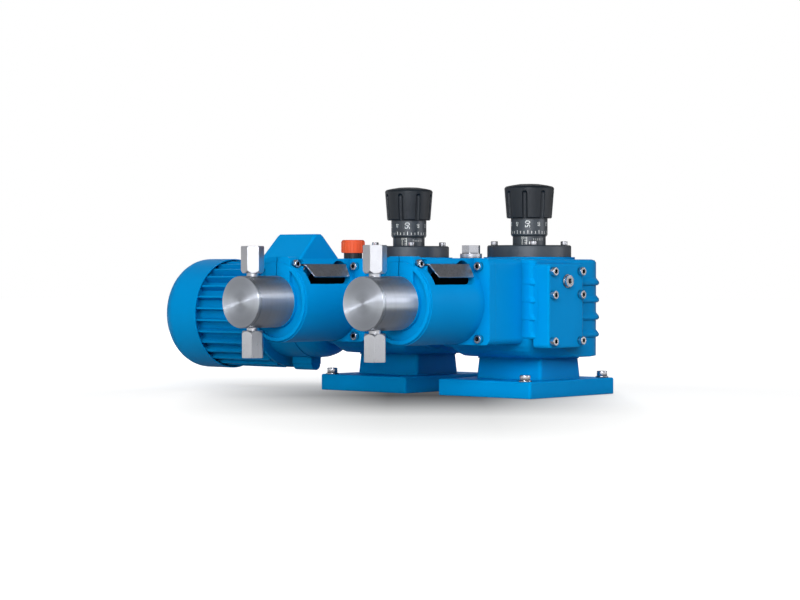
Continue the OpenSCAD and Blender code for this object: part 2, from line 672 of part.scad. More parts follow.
// Pump head: barrel, clamping spigot, plunger bore and valve channel
module pump_head() color(steel) difference() {
    union() {
        on_plunger_axis(head_back) cylinder(d = head_d, h = head_l, $fn = 96);
        on_plunger_axis(gland_back) cylinder(r = spigot_r, h = lantern_front_t + 1 + thin, $fn = 72);
    }
    on_plunger_axis(gland_back + through) cylinder(r = packing_r + seat_gap, h = gland_back + through - stuffing_end);
    on_plunger_axis(head_back) cylinder(r = plunger_d / 2 + 1, h = head_l + through);
    translate([0, valve_y, plunger_z - head_d]) cylinder(r = 3.5, h = 2 * head_d);
    for (s = [-1, 1]) translate([0, valve_y, plunger_z]) rotate([s < 0 ? 180 : 0, 0, 0])
        translate([0, 0, head_d / 2 - valve_neck_in - 0.5]) cylinder(d = valve_neck_d + 2 * seat_gap, h = 30);
}

module head_cap() color(steel) {
    on_plunger_axis(head_front) cylinder(d = head_d - 2, h = 1 + thin, $fn = 96);
    on_plunger_axis(head_front - 1) cylinder(d = head_d, h = cap_t - 0.6, $fn = 96);
    on_plunger_axis(head_front - 1 - cap_t + 0.6) cylinder(d1 = head_d, d2 = head_d - 1.2, h = 0.6, $fn = 96);
    on_plunger_axis(head_front + 3) cylinder(r = plunger_d / 2 + 1 - seat_gap, h = 3 + thin);
}

// Packing: square-edged rings round the plunger
module packing() color(white) for (i = [0:packing_rings - 1])
    on_plunger_axis(head_back - air_gap - i * packing_pitch)
        tube(packing_r, plunger_d / 2 + run_gap, packing_ring_t);

module gland_nut() color(steel) difference() {
    union() {
        on_plunger_axis(gland_back + gland_l + air_gap) cylinder(r = gland_r, h = gland_l, $fn = 6);
        on_plunger_axis(gland_back + 1) cylinder(r = packing_r, h = gland_back + 1 - head_back - air_gap);
    }
    on_plunger_axis(gland_back + gland_l + 1) cylinder(r = plunger_d / 2 + run_gap, h = 2 * lantern_front_t + gland_l);
}

// Valve body on z = 0, standing away from the head, with its neck below
module valve_shell() {
    intersection() {
        cylinder(d = valve_af / cos(30), h = valve_h, $fn = 6);
        cylinder(r1 = valve_af / 2 - 0.2, r2 = valve_af / 2 + 9, h = 15, $fn = 72);
    }
    intersection() {
        translate([0, 0, 5]) cylinder(d = valve_af / cos(30), h = valve_h - 5, $fn = 6);
        translate([0, 0, valve_h - 15]) cylinder(r1 = valve_af / 2 + 10, r2 = valve_af / 2 + 1.2, h = 15, $fn = 72);
    }
    translate([0, 0, 4]) cylinder(d = valve_af / cos(30), h = valve_h - 8, $fn = 6);
    translate([0, 0, -valve_stand - valve_neck_in]) cylinder(d = valve_neck_d, h = valve_stand + valve_neck_in + 1);
}

chamber_seat_z = 2.5;
chamber_l = 12;
module discharge_valve() color(steel) translate([0, valve_y, plunger_z + head_d / 2 + valve_stand]) difference() {
    rotate(48) valve_shell();
    translate([0, 0, -30]) cylinder(r = 3.5, h = 30 + chamber_seat_z + thin);
    translate([0, 0, chamber_seat_z]) cylinder(r = ball_d / 2 + 1, h = chamber_l);
    translate([0, 0, chamber_seat_z]) cylinder(r = 3, h = valve_h);
    translate([0, 0, valve_h - port_l]) cylinder(r = port_r, h = port_l + through);
}

module suction_valve() color(steel) translate([0, valve_y, plunger_z - head_d / 2 - valve_stand]) difference() {
    rotate(-51) mirror([0, 0, 1]) valve_shell();
    translate([0, 0, -valve_h + port_l - thin]) cylinder(r = 3.5, h = suction_seat() + 2 * thin);
    translate([0, 0, -valve_h + port_l + suction_seat()]) cylinder(r = ball_d / 2 + 1, h = chamber_l);
    translate([0, 0, -valve_h + port_l]) cylinder(r = 3, h = valve_h + 20);
    translate([0, 0, -valve_h - through]) cylinder(r = port_r, h = port_l + through);
}
function suction_seat() = 4;

// Height of a ball's centre above the sharp edge of its seat
function ball_rest() = sqrt(pow(ball_d / 2, 2) - pow(3.5, 2)) + 0.05;
module discharge_ball() color(steel)
    translate([0, valve_y, plunger_z + head_d / 2 + valve_stand + chamber_seat_z + ball_rest()]) sphere(d = ball_d);
module suction_ball() color(steel)
    translate([0, valve_y, plunger_z - head_d / 2 - valve_stand - valve_h + port_l + suction_seat() + ball_rest()])
        sphere(d = ball_d);

// Cast side cover with rounded corners and its level plug hole
module side_cover() color(blue) difference() {
    translate([side_face, cover_y, cover_z]) rotate([90, 0, 90]) {
        rounded_plate(cover_w, cover_h, cover_t - 2, 5);
        hull() {
            translate([0, 0, cover_t - 2.1]) rounded_plate(cover_w, cover_h, thin, 5);
            translate([0, 0, cover_t - 0.6]) rounded_plate(cover_w - 1.2, cover_h - 1.2, thin, 4.5);
            translate([0, 0, cover_t - thin]) rounded_plate(cover_w - 4, cover_h - 4, thin, 3.5);
        }
    }
    on_worm_axis(side_face - through) cylinder(r = bearing_r, h = through + 6);
    translate([side_face - through, level_plug_y, level_plug_z]) rotate([0, 90, 0]) cylinder(r = 5, h = cover_t + 2 * through);
    at_cover_screws() translate([0, 0, -cover_t - through]) cylinder(r = m6_shank_r + 0.3, h = cover_t + 2 * through, $fn = 16);
}

// Level plug in the side cover and filler plug with collar on the right neck
module oil_plugs() color(steel) {
    translate([cover_outer, level_plug_y, level_plug_z]) rotate([0, 90, 0]) {
        difference() {
            union() {
                cylinder(r = 8, h = 1.5);
                cylinder(r = 7, h = 5);
            }
            translate([0, 0, 2]) cylinder(r = 3.5, h = 4, $fn = 6);
        }
        translate([0, 0, -10]) cylinder(r = 4.9, h = 10 + thin);
    }
    translate([0, filler_y, bridge_top]) {
        translate([0, 0, 0.1]) cylinder(r = 13, h = 5.5);
        translate([0, 0, 5]) cylinder(d = 20 / cos(30), h = plug_hex_h, $fn = 6);
        translate([0, 0, -9]) cylinder(r = 6.4, h = 9.2, $fn = 32);
    }
}

// Vent cap: ribbed cap on a threaded neck
module vent_cap() color(orange) translate([0, vent_y, bridge_top]) {
    translate([0, 0, 7.2]) {
        cylinder(r = vent_r, h = vent_h, $fn = 72);
        translate([0, 0, vent_h - thin]) cylinder(r1 = vent_r, r2 = vent_r - 1.4, h = 1.2, $fn = 72);
        for (i = [0:23]) rotate(i * 15) translate([vent_r, 0, 1]) cylinder(r = 0.5, h = vent_h - 2, $fn = 13);
    }
    translate([0, 0, 0.1]) cylinder(r = 11.5, h = 7.2);
    translate([0, 0, -9]) cylinder(r = 6.4, h = 9.2, $fn = 32);
}

// All cap screws of the two units
module housing_screws() color(steel) {
    at_both() {
        at_flange_screws() cap_screw(m6_head_r, m6_head_h, m6_shank_r, flange_t + screw_bite);
        at_adjuster_screws() cap_screw(m5_head_r, m5_head_h, m5_shank_r, adj_flange_t + screw_bite);
        at_clamp_screw() cap_screw(m6_head_r, m6_head_h, m6_shank_r, 36);
    }
    at_right() at_cover_screws() cap_screw(m6_head_r, m6_head_h, m6_shank_r, cover_t + screw_bite);
}

module bearing_ring(r_out, r_in, t) tube(r_out, r_in + seat_gap + 0.02, t);

// Bearings of the worm shafts, the eccentric shafts and the rotor
module ball_bearings() color(steel) {
    at_both() {
        for (s = [-1, 1]) on_worm_axis(s * (bearing_end - bearing_t / 2) - bearing_t / 2)
            bearing_ring(bearing_r, worm_shaft_r, bearing_t);
        translate([0, 0, chamber_z - lower_bearing_t]) bearing_ring(bearing_r, ecc_shaft_r, lower_bearing_t - 0.5);
        translate([0, 0, upper_bearing_z]) bearing_ring(bearing_r, ecc_shaft_r, bearing_t);
    }
    on_motor_axis(motor_face - 24) bearing_ring(17.5, motor_shaft_r, 11);
    on_motor_axis(frame_back - 2) bearing_ring(17.5, motor_shaft_r, 11);
}

// Worm with its threads as a twisted section
module worm() {
    half = 180 / worm_starts;
    translate([0, 0, -worm_l / 2]) linear_extrude(height = worm_l, twist = -360 * worm_l / worm_lead, slices = 64, segments = 1)
        polygon([for (i = [0:worm_starts - 1], p = [[-0.75, 0], [-0.5, 0], [-0.22, 1], [0, 1], [0.22, 1], [0.5, 0], [0.75, 0]])
            (worm_root_r + p[1] * (worm_tip_r - worm_root_r)) * [cos(2 * half * i + p[0] * half), sin(2 * half * i + p[0] * half)]]);
}

// One shaft per unit; the left one reaches the motor coupling
module worm_shafts() color(steel) {
    link_mid = -unit_pitch / 2;
    reach = coupling_gap / 2 + 0.5;
    at_right() {
        on_worm_axis(0) worm();
        on_worm_axis(link_mid + reach) cylinder(r = worm_shaft_r, h = bearing_end - link_mid - reach);
    }
    at_left() {
        on_worm_axis(0) worm();
        on_worm_axis(motor_coupling_x() + unit_pitch + reach)
            cylinder(r = worm_shaft_r, h = link_mid + unit_pitch - motor_coupling_x() - unit_pitch - 2 * reach);
    }
}
function motor_coupling_x() = motor_face + 20;

// Jaw coupling: two hubs with interlocking jaws
module jaw_coupling(left_r, right_r) {
    difference() {
        union() {
            translate([0, 0, coupling_gap / 2]) cylinder(r = coupling_r, h = coupling_hub_l);
            for (a = [0, 180]) rotate(a) intersection() {
                translate([0, 0, -coupling_gap / 2 + 0.5]) cylinder(r = coupling_r, h = coupling_gap);
                translate([0, -4, -coupling_gap]) cube([coupling_r, 8, 2 * coupling_gap]);
            }
        }
        translate([0, 0, -coupling_gap]) cylinder(r = right_r + seat_gap, h = 40);
    }
    difference() {
        union() {
            translate([0, 0, -coupling_gap / 2 - coupling_hub_l]) cylinder(r = coupling_r, h = coupling_hub_l);
            for (a = [90, 270]) rotate(a) intersection() {
                translate([0, 0, -coupling_gap / 2 - 0.5]) cylinder(r = coupling_r, h = coupling_gap);
                translate([0, -4, -coupling_gap]) cube([coupling_r, 8, 2 * coupling_gap]);
            }
        }
        translate([0, 0, -coupling_gap / 2 - 40]) cylinder(r = left_r + seat_gap, h = 60);
    }
}

module shaft_couplings() color(steel) {
    translate([-unit_pitch / 2, shaft_y + worm_y, worm_z]) rotate([0, 90, 0]) jaw_coupling(worm_shaft_r, worm_shaft_r);
    on_motor_axis(motor_coupling_x()) jaw_coupling(motor_shaft_r, worm_shaft_r);
}

// Tube between the two housings, round the link coupling
module link_adapter() color(blue) {
    gap = unit_pitch - 2 * side_face;
    on_motor_axis(-unit_pitch + side_face) difference() {
        union() {
            cylinder(r = link_r, h = gap);
            cylinder(r = link_flange_r, h = link_flange_t);
            translate([0, 0, gap - link_flange_t]) cylinder(r = link_flange_r, h = link_flange_t);
        }
        translate([0, 0, -through]) cylinder(r = link_r - 6, h = gap + 2 * through);
    }
}

// Bell between the left housing and the motor's flange
module motor_adapter() color(blue) on_motor_axis(motor_face) difference() {
    rotate_extrude($fn = 96) polygon(concat(
        [[23, 0], [adapter_big_r, 0], [adapter_big_r, 7]],
        [for (a = [0:15:90]) [adapter_small_r + (adapter_big_r - adapter_small_r) * cos(a), 7 + (adapter_l - 11) * sin(a)]],
        [[adapter_small_r + 2, adapter_l - 4], [adapter_small_r + 2, adapter_l], [23, adapter_l]]));
}

// Finned motor frame with four bolt pads at each end
module motor_frame() color(blue) {
    on_motor_axis(frame_back) {
        tube(motor_tube_r, motor_tube_r - 5, motor_frame_l);
        for (i = [0:motor_fins - 1]) rotate((i + 0.5) * 360 / motor_fins)
            translate([motor_tube_r - 1, -1.2, 0]) cube([motor_fin_r - motor_tube_r + 1, 2.4, motor_frame_l]);
    }
}

// Drive-end shield with three lugs, and the rear shield under the cowl
module motor_shields() color(blue) {
    on_motor_axis(frame_front) difference() {
        union() {
            cylinder(r = motor_fin_r - 2, h = 5, $fn = 96);
            cylinder(r = shield_r, h = shield_l, $fn = 96);
            for (a = [-90, 0, 90]) rotate(a) shield_lug();
        }
        translate([0, 0, -through]) cylinder(r = motor_tube_r - 8, h = shield_l - 12);
        cylinder(r = 10, h = shield_l + through);
        translate([0, 0, shield_l - 25]) cylinder(r = 17.5 + seat_gap, h = 12);
        translate([0, 0, shield_l - 8]) cylinder(r = 23, h = 10);
    }
    on_motor_axis(frame_back - 9) difference() {
        union() {
            cylinder(r = motor_fin_r - 6, h = 9, $fn = 96);
            translate([0, 0, 5]) cylinder(r = 24, h = 14);
            for (i = [0:3]) rotate(45 + 90 * i) translate([motor_fin_r - 10, -7, 0])
                cube([cowl_r - cowl_wall - air_gap - motor_fin_r + 9, 14, 8]);
        }
        translate([0, 0, -through]) cylinder(r = 10, h = 40);
        translate([0, 0, 7]) cylinder(r = 17.5 + seat_gap, h = 20);
    }
}
module shield_lug() translate([shield_r - 2, 0, 14]) {
    lug_l = motor_fin_r - 6 - shield_r + 2;
    translate([0, -9, 0]) cube([lug_l, 18, 34]);
    translate([lug_l, 0, 0]) cylinder(r = 8, h = 34);
}

// Fan cowl: thin shell, rounded at the back, with a grille of slots
module fan_cowl() color(blue) on_motor_axis(cowl_back) difference() {
    rotate_extrude($fn = 120) difference() {
        cowl_outline(0);
        cowl_outline(cowl_wall);
        translate([-1, -1]) square([1, cowl_l + 2]);
    }
    for (ring = [0:3]) for (i = [0:5 + 4 * ring]) rotate(i * 360 / (6 + 4 * ring))
        translate([14 + 9 * ring, 0, -through]) cylinder(r = 3, h = 6, $fn = 16);
}
module cowl_outline(inset) {
    dome = 26;
    polygon(concat(
        [[0, inset]],
        [for (a = [0:9:90]) [cowl_r - dome + (dome - inset) * sin(a), dome - (dome - inset) * cos(a)]],
        [[cowl_r - inset, cowl_l + (inset > 0 ? 1 : 0)], [0, cowl_l + (inset > 0 ? 1 : 0)]]));
}

module motor_fan() color(black) on_motor_axis(fan_x) difference() {
    union() {
        cylinder(r = 13, h = 22);
        translate([0, 0, 18]) cylinder(r = fan_r, h = 2.5);
        for (i = [0:7]) rotate(i * 45) translate([10, -1, 2]) cube([fan_r - 10, 2, 18]);
    }
    translate([0, 0, -through]) cylinder(r = motor_shaft_r + seat_gap, h = 30);
}

module motor_rotor() color(steel) {
    on_motor_axis(fan_x - 2) cylinder(r = motor_shaft_r, h = motor_coupling_x() - fan_x + 2 - coupling_gap / 2 - 0.5);
    on_motor_axis(frame_back + 22) cylinder(r = rotor_r, h = rotor_l);
}

// Terminal box: base on the motor's back and a ridged lid
module terminal_box() color(blue) difference() {
    translate([tbox_x, shaft_y + motor_y, 0]) {
        translate([0, 0, worm_z + motor_fin_r - 8]) rounded_plate(tbox_w - 4, tbox_d - 4, tbox_z - worm_z - motor_fin_r + 8, 6);
        translate([0, 0, worm_z + shield_r - 12])
            rounded_plate(tbox_w - 16, 40, tbox_z - worm_z - shield_r + 12, 6);
    }
    on_motor_axis(frame_back - 1) cylinder(r = motor_fin_r + 0.2, h = motor_frame_l + 6);
    on_motor_axis(frame_front) cylinder(r = shield_r + 0.05, h = shield_l + 2, $fn = 96);
}

module terminal_lid() color(blue) translate([tbox_x, shaft_y + motor_y, tbox_z]) hull() {
    translate([0, 0, 0.05]) rounded_plate(tbox_w, tbox_d, 4, 4);
    translate([0, 0.5, tbox_lid_h - 3]) rounded_plate(tbox_w - 4, 18, thin, 3);
    translate([0, 0.5, tbox_lid_h - thin]) rounded_plate(tbox_w - 8, 12, thin, 2);
}

at_right() foot();  // right_foot
at_right() gear_housing(true);  // right_gear_housing
at_right() lantern();  // right_lantern
at_right() adjuster_flange();  // right_adjuster_flange
at_right() thimble();  // right_thimble
at_right() knob(27.4);  // right_knob
at_right() spindle();  // right_spindle
at_right() thrust_rod();  // right_thrust_rod
at_right() eccentric_shaft();  // right_eccentric_shaft
at_right() worm_wheel();  // right_worm_wheel
at_right() eccentric_ring();  // right_eccentric_ring
at_right() crosshead();  // right_crosshead
at_right() return_spring();  // right_return_spring
at_right() plunger();  // right_plunger
at_right() pump_head();  // right_pump_head
at_right() discharge_valve();  // right_discharge_valve
at_right() suction_valve();  // right_suction_valve
at_right() discharge_ball();  // right_discharge_ball
at_right() suction_ball();  // right_suction_ball
at_left() foot();  // left_foot
at_left() gear_housing(false);  // left_gear_housing
at_left() lantern();  // left_lantern
at_left() adjuster_flange();  // left_adjuster_flange
at_left() thimble();  // left_thimble
at_left() knob(20);  // left_knob
at_left() spindle();  // left_spindle
at_left() thrust_rod();  // left_thrust_rod
at_left() eccentric_shaft();  // left_eccentric_shaft
at_left() worm_wheel();  // left_worm_wheel
at_left() eccentric_ring();  // left_eccentric_ring
at_left() crosshead();  // left_crosshead
at_left() return_spring();  // left_return_spring
at_left() plunger();  // left_plunger
at_left() pump_head();  // left_pump_head
at_left() discharge_valve();  // left_discharge_valve
at_left() suction_valve();  // left_suction_valve
at_left() discharge_ball();  // left_discharge_ball
at_left() suction_ball();  // left_suction_ball
at_both() head_cap();  // head_caps
at_both() packing();  // packings
at_both() gland_nut();  // gland_nuts
at_both() guide_bush();  // guide_bushes
at_both() window_guard();  // window_guards
at_both() scale_sleeve();  // scale_sleeves
at_right() side_cover();
at_right() oil_plugs();
at_left() vent_cap();
housing_screws();
ball_bearings();
worm_shafts();
shaft_couplings();
link_adapter();
motor_adapter();
motor_frame();
motor_shields();
fan_cowl();
motor_fan();
motor_rotor();
terminal_box();
terminal_lid();
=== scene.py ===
"""Duplex plunger metering pump: finishes, scales, foot screws, studio and camera."""

import json
import math

import bpy
from mathutils import Matrix, Vector


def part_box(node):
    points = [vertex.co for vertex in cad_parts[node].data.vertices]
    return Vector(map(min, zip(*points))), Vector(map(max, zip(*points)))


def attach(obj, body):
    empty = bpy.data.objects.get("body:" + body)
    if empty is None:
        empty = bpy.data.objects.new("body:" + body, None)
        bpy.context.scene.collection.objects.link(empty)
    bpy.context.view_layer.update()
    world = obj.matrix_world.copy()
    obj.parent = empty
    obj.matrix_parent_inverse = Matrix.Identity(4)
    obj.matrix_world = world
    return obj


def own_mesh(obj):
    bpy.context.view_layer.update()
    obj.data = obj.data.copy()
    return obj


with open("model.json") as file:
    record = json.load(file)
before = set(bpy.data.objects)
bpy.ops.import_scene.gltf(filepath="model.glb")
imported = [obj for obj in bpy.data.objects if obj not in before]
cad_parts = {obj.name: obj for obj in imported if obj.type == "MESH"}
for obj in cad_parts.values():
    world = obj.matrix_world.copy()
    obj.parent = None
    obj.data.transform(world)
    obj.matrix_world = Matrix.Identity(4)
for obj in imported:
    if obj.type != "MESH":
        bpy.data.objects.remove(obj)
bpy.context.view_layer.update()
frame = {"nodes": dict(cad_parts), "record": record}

# Places and sizes that the solids have, in metres
UNIT_PITCH = 0.196
UNIT_X = {"right": 0.0, "left": -UNIT_PITCH}
ADJUSTER_Y = 0.005
PLUNGER_Z = 0.1145
BARREL_BORE_R = 0.0425
BARREL_FRONT_Y = -0.2252
VENT_NECK_TOP = 0.1737
THIMBLE_R = 0.0225
SLEEVE_R = 0.0203
FOOT_PLATE_T = 0.020
FOOT_BOLT_X = 0.058
FOOT_BOLT_Y = 0.0765

# The point that lamps and cards look at, and the camera's turn about Z in degrees
STUDIO_MIDDLE = Vector((-0.2, -0.05, 0.11))
CAMERA_TURN = 41.3

# Blue enamel: the two tones of its mottle, and how much painted shade darkens its inner corners
BLUE_DEEP = (0.0, 0.254, 0.635)
BLUE_PALE = (0.0, 0.276, 0.680)
CORNER_REACH = 0.012
CORNER_TONE = 0.70


def deselect_all():
    if bpy.context.mode != "OBJECT":
        bpy.ops.object.mode_set(mode="OBJECT")
    bpy.ops.object.select_all(action="DESELECT")


# Shader helpers

def math_node(nodes, links, operation, *values):
    """Math node whose inputs are sockets or plain numbers."""
    node = nodes.new("ShaderNodeMath")
    node.operation = operation
    for socket, value in zip(node.inputs, values):
        if isinstance(value, float):
            socket.default_value = value
        else:
            links.new(value, socket)
    return node.outputs[0]


def blend_range(nodes, links, source, start, end, low, high):
    """Low up to the start, high from the end on, and a straight blend between them."""
    scale = nodes.new("ShaderNodeMapRange")
    scale.inputs["From Min"].default_value = start
    scale.inputs["From Max"].default_value = end
    scale.inputs["To Min"].default_value = low
    scale.inputs["To Max"].default_value = high
    links.new(source, scale.inputs["Value"])
    return scale.outputs["Result"]


def split_xyz(nodes, links, source):
    split = nodes.new("ShaderNodeSeparateXYZ")
    links.new(source, split.inputs[0])
    return split.outputs


def seen_directly(nodes, links):
    """1 for camera, glossy and transmission rays, 0 for the rays that light the object."""
    path = nodes.new("ShaderNodeLightPath").outputs
    first = math_node(nodes, links, "MAXIMUM", path["Is Camera Ray"], path["Is Glossy Ray"])
    return math_node(nodes, links, "MAXIMUM", first, path["Is Transmission Ray"])


# Camera and studio

def set_camera():
    bpy.ops.object.camera_add(
        location=(1.7908, -2.2737, 0.1561),
        rotation=(math.radians(89.2), 0.0, math.radians(CAMERA_TURN)),
    )
    camera = bpy.context.object
    camera.name = "camera"
    camera.data.sensor_width = 36.0
    camera.data.lens = 106.07
    camera.data.clip_start = 0.05
    camera.data.clip_end = 50.0
    bpy.context.scene.camera = camera


def direction(azimuth, elevation):
    """Unit vector out of the pump: azimuth 0 is +X and -90 is -Y."""
    a = math.radians(azimuth)
    e = math.radians(elevation)
    return Vector((math.cos(a) * math.cos(e), math.sin(a) * math.cos(e), math.sin(e)))


def softbox(name, azimuth, elevation, distance, size, power, tint=(1.0, 1.0, 1.0)):
    """Area lamp that looks at the pump and doesn't show in its reflections."""
    out = direction(azimuth, elevation)
    bpy.ops.object.light_add(type="AREA", location=STUDIO_MIDDLE + out * distance)
    lamp = bpy.context.object
    lamp.name = name
    lamp.data.shape = "RECTANGLE"
    lamp.data.size = size[0]
    lamp.data.size_y = size[1]
    lamp.data.energy = power
    lamp.data.color = tint
    lamp.rotation_mode = "QUATERNION"
    lamp.rotation_quaternion = (-out).to_track_quat("-Z", "Y")
    lamp.visible_camera = False
    lamp.visible_glossy = False


def mirror_card(name, azimuth, elevation, distance, size, value):
    """Card that shows only in reflections and throws no light or shadow."""
    out = direction(azimuth, elevation)
    bpy.ops.mesh.primitive_plane_add(size=1.0)
    card = bpy.context.object
    card.name = name
    turn = (-out).to_track_quat("-Z", "Y").to_matrix().to_4x4()
    grow = Matrix.Diagonal((size[0], size[1], 1.0, 1.0))
    card.data.transform(Matrix.Translation(STUDIO_MIDDLE + out * distance) @ turn @ grow)
    cloth = bpy.data.materials.new(name + "_cloth")
    cloth.use_nodes = True
    nodes = cloth.node_tree.nodes
    nodes.clear()
    shade = nodes.new("ShaderNodeEmission")
    shade.inputs["Color"].default_value = (value, value, value * 1.06, 1.0)
    shade.inputs["Strength"].default_value = 1.0
    end = nodes.new("ShaderNodeOutputMaterial")
    cloth.node_tree.links.new(shade.outputs[0], end.inputs["Surface"])
    card.data.materials.append(cloth)
    card.visible_camera = False
    card.visible_diffuse = False
    card.visible_shadow = False
    card.visible_transmission = False


def set_world():
    """White where it is seen directly, and a faint blue fill for everything else."""
    world = bpy.data.worlds.new("studio_air")
    bpy.context.scene.world = world
    world.use_nodes = True
    nodes = world.node_tree.nodes
    links = world.node_tree.links
    nodes.clear()
    out = nodes.new("ShaderNodeOutputWorld")
    mix = nodes.new("ShaderNodeMixShader")
    fill = nodes.new("ShaderNodeBackground")
    fill.inputs["Color"].default_value = (0.86, 0.93, 1.0, 1.0)
    fill.inputs["Strength"].default_value = 0.10
    white = nodes.new("ShaderNodeBackground")
    white.inputs["Color"].default_value = (1.0, 1.0, 1.0, 1.0)
    white.inputs["Strength"].default_value = 1.0
    links.new(seen_directly(nodes, links), mix.inputs[0])
    links.new(fill.outputs[0], mix.inputs[1])
    links.new(white.outputs[0], mix.inputs[2])
    links.new(mix.outputs[0], out.inputs["Surface"])


def painted_shadow_tone(nodes, links, across):
    """1 on clean paper, and less in a painted shadow under and in front of the pump, which fades to both
    sides and with depth.
    """
    place = split_xyz(nodes, links, across)
    left = blend_range(nodes, links, place["X"], -0.42, -0.17, 0.0, 1.0)
    right = blend_range(nodes, links, place["X"], -0.06, 0.125, 1.0, 0.0)
    depth = blend_range(nodes, links, place["Y"], -1.0, 0.45, 0.0, 1.0)
    stops = (
        (0.0, 0.0), (0.16, 0.13), (0.27, 0.205), (0.40, 0.26), (0.55, 0.66),
        (0.68, 0.90), (0.74, 0.84), (0.83, 0.58), (0.93, 0.10), (1.0, 0.0),
    )
    painted_shadow_ramp = nodes.new("ShaderNodeValToRGB")
    while len(painted_shadow_ramp.color_ramp.elements) < len(stops):
        painted_shadow_ramp.color_ramp.elements.new(0.5)
    for stop, (position, value) in zip(painted_shadow_ramp.color_ramp.elements, stops):
        stop.position = position
        stop.color = (value, value, value, 1.0)
    links.new(depth, painted_shadow_ramp.inputs["Fac"])
    wide = math_node(nodes, links, "MULTIPLY", left, right)
    dim = math_node(nodes, links, "MULTIPLY", wide, painted_shadow_ramp.outputs["Color"])
    return math_node(nodes, links, "SUBTRACT", 1.0, dim)


def lay_floor():
    """White paper that goes on to the horizon, with a painted soft grey shadow under and in front of the
    pump, on top of the real shadows that the lamps cast.
    """
    bpy.ops.mesh.primitive_plane_add(size=14.0, location=(-0.2, -0.1, -0.0006))
    floor = bpy.context.object
    floor.name = "floor"
    bpy.ops.object.transform_apply(location=True, rotation=True, scale=True)
    paper = bpy.data.materials.new("white_paper")
    paper.use_nodes = True
    nodes = paper.node_tree.nodes
    links = paper.node_tree.links
    nodes.clear()
    place = nodes.new("ShaderNodeTexCoord")
    turn = nodes.new("ShaderNodeMapping")
    turn.inputs["Rotation"].default_value = (0.0, 0.0, math.radians(-CAMERA_TURN))
    links.new(place.outputs["Object"], turn.inputs["Vector"])
    # Painted shadow: the paper's colour and glow are dimmed in a fixed grey pool
    tone = painted_shadow_tone(nodes, links, turn.outputs["Vector"])
    reach = nodes.new("ShaderNodeVectorMath")
    reach.operation = "DISTANCE"
    reach.inputs[1].default_value = (-0.10, -0.35, 0.0)
    links.new(turn.outputs["Vector"], reach.inputs[0])
    level = blend_range(nodes, links, reach.outputs["Value"], 0.6, 1.4, 0.68, 1.0)
    out = nodes.new("ShaderNodeOutputMaterial")
    mix = nodes.new("ShaderNodeMixShader")
    add = nodes.new("ShaderNodeAddShader")
    dull = nodes.new("ShaderNodeBsdfDiffuse")
    dull.inputs["Color"].default_value = (0.38, 0.38, 0.38, 1.0)
    matt = nodes.new("ShaderNodeBsdfDiffuse")
    links.new(math_node(nodes, links, "MULTIPLY", tone, 0.42), matt.inputs["Color"])
    glow = nodes.new("ShaderNodeEmission")
    links.new(math_node(nodes, links, "MULTIPLY", level, tone), glow.inputs["Strength"])
    links.new(matt.outputs[0], add.inputs[0])
    links.new(glow.outputs[0], add.inputs[1])
    links.new(seen_directly(nodes, links), mix.inputs[0])
    links.new(dull.outputs[0], mix.inputs[1])
    links.new(add.outputs[0], mix.inputs[2])
    links.new(mix.outputs[0], out.inputs["Surface"])
    floor.data.materials.append(paper)


def build_studio():
    set_world()
    lay_floor()
    softbox("key_box", -44, 19, 2.6, (1.6, 1.0), 56.0)
    softbox("left_box", -84, 4, 2.6, (1.4, 1.0), 25.0, (0.92, 1.0, 0.86))
    softbox("top_box", -60, 72, 2.2, (2.4, 2.0), 13.0)
    softbox("back_box", 135, 20, 2.8, (2.2, 1.4), 46.0)
    low_ring = (
        (-48, 1.30), (-18, 0.80), (12, 0.74), (42, 0.30), (72, 0.08), (102, 0.10),
        (132, 0.22), (162, 0.30), (-168, 0.34), (-138, 0.46), (-108, 0.76), (-78, 1.00),
    )
    for i, (azimuth, value) in enumerate(low_ring):
        mirror_card(f"low_card_{i}", azimuth, 6, 3.0, (1.70, 1.70), value)
    high_ring = ((-48, 0.60), (12, 0.38), (72, 0.12), (132, 0.12), (-168, 0.20), (-108, 0.34))
    for i, (azimuth, value) in enumerate(high_ring):
        mirror_card(f"high_card_{i}", azimuth, 44, 3.1, (2.90, 2.10), value)
    mirror_card("overhead_card", 0, 90, 2.7, (3.6, 3.6), 0.12)
    mirror_card("under_card", 0, -90, 0.1094, (1.2, 1.2), 0.20)
    mirror_card("key_glint", -52, 19, 2.5, (0.8, 0.36), 26.0)
    mirror_card("back_glint", 34, 10, 2.5, (1.3, 0.50), 3.6)


# Finishes

def new_finish(name):
    finish = bpy.data.materials.new(name)
    finish.use_nodes = True
    nodes = finish.node_tree.nodes
    shader = nodes["Principled BSDF"]
    place = nodes.new("ShaderNodeTexCoord")
    return finish, nodes, finish.node_tree.links, shader, place.outputs["Object"]


def noise(nodes, links, place, scale, detail=3.0):
    grain = nodes.new("ShaderNodeTexNoise")
    grain.inputs["Scale"].default_value = scale
    grain.inputs["Detail"].default_value = detail
    links.new(place, grain.inputs["Vector"])
    return grain.outputs["Fac"]


def ramp(nodes, links, source, low, high, start=0.35, end=0.65):
    """Colour that goes from low to high as the source goes from start to end."""
    blend = nodes.new("ShaderNodeValToRGB")
    blend.color_ramp.elements[0].position = start
    blend.color_ramp.elements[0].color = (*low, 1.0)
    blend.color_ramp.elements[1].position = end
    blend.color_ramp.elements[1].color = (*high, 1.0)
    links.new(source, blend.inputs["Fac"])
    return blend.outputs["Color"]


def two_tone(nodes, links, mask, outside, inside):
    """The outside colour where the mask is 0, and the inside colour where it is 1."""
    mix = nodes.new("ShaderNodeMix")
    mix.data_type = "RGBA"
    links.new(mask, mix.inputs["Factor"])
    for socket, colour in ((mix.inputs["A"], outside), (mix.inputs["B"], inside)):
        if isinstance(colour, tuple):
            socket.default_value = (*colour, 1.0)
        else:
            links.new(colour, socket)
    return mix.outputs["Result"]


def set_roughness(nodes, links, shader, grain, low, high):
    """Roughness that follows the grain between two values."""
    links.new(blend_range(nodes, links, grain, 0.25, 0.75, low, high), shader.inputs["Roughness"])


